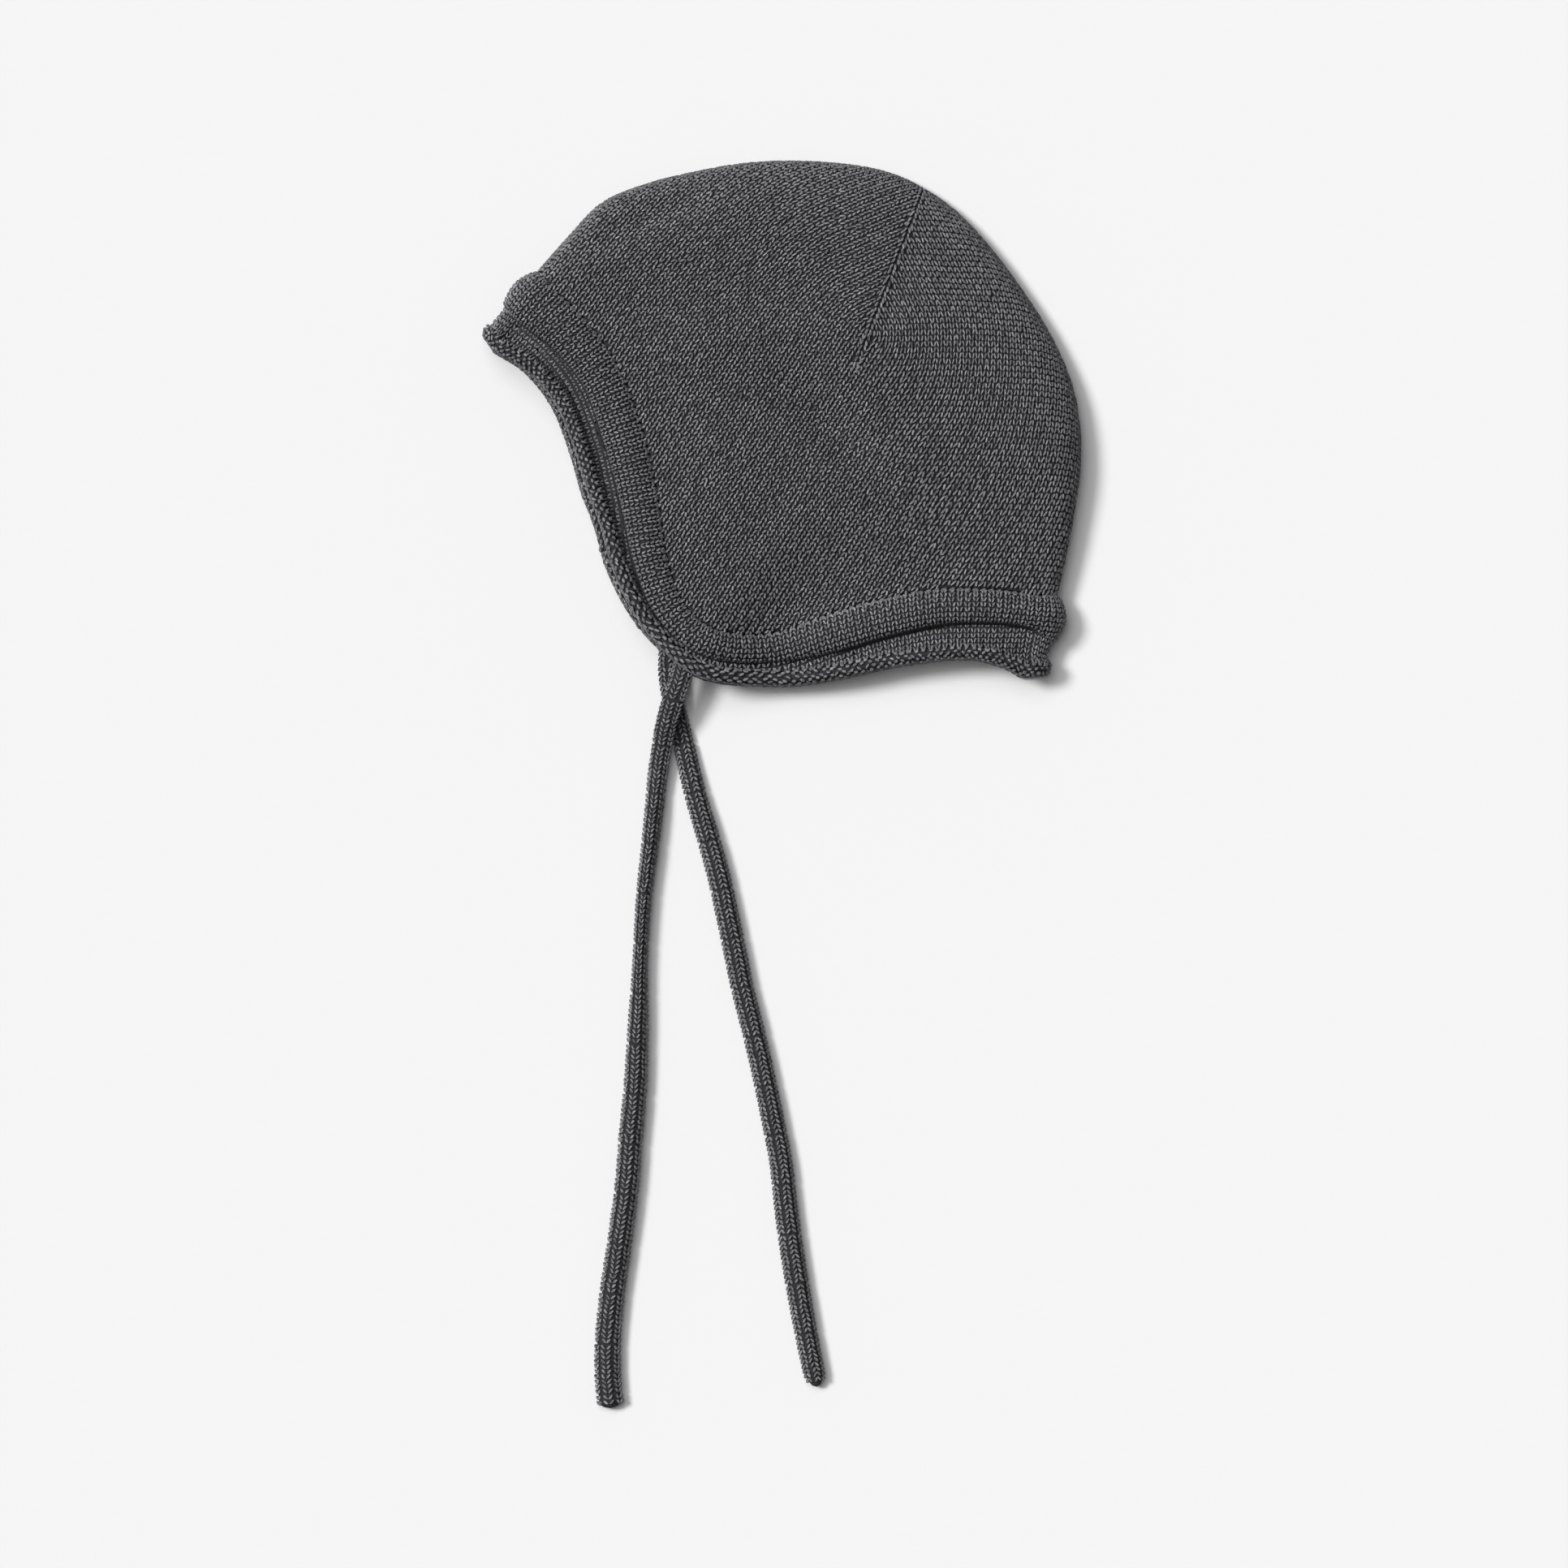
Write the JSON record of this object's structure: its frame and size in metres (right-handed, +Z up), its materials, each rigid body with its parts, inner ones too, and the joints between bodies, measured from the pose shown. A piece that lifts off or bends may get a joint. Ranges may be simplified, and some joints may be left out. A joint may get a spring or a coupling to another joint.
{
  "type": "knitted baby bonnet",
  "caption": "Knitted baby bonnet lying flat on its side: a folded hollow crown, open along face and neck, with a rolled band round the edge and long cord ties at the ears.",
  "frame": {"origin": "under the middle of the bonnet's box without its ties, on the surface that it lies on", "axes": "+Z up from the surface, -X towards the open face side, -Y towards the open neck side and along the ties"},
  "size_m": [0.1843, 0.3851, 0.0202],
  "materials": {
    "crown_knit": "matte charcoal melange wool, plain knit",
    "band_knit": "matte charcoal melange wool, plain knit with its purl side out on the rolled edge",
    "tie_knit": "matte charcoal melange wool, narrow knitted cord"
  },
  "bodies": {
    "root": {"crown": "crown_knit", "band": "band_knit", "tie_upper": "tie_knit", "tie_lower": "tie_knit"}
  },
  "joints": []
}
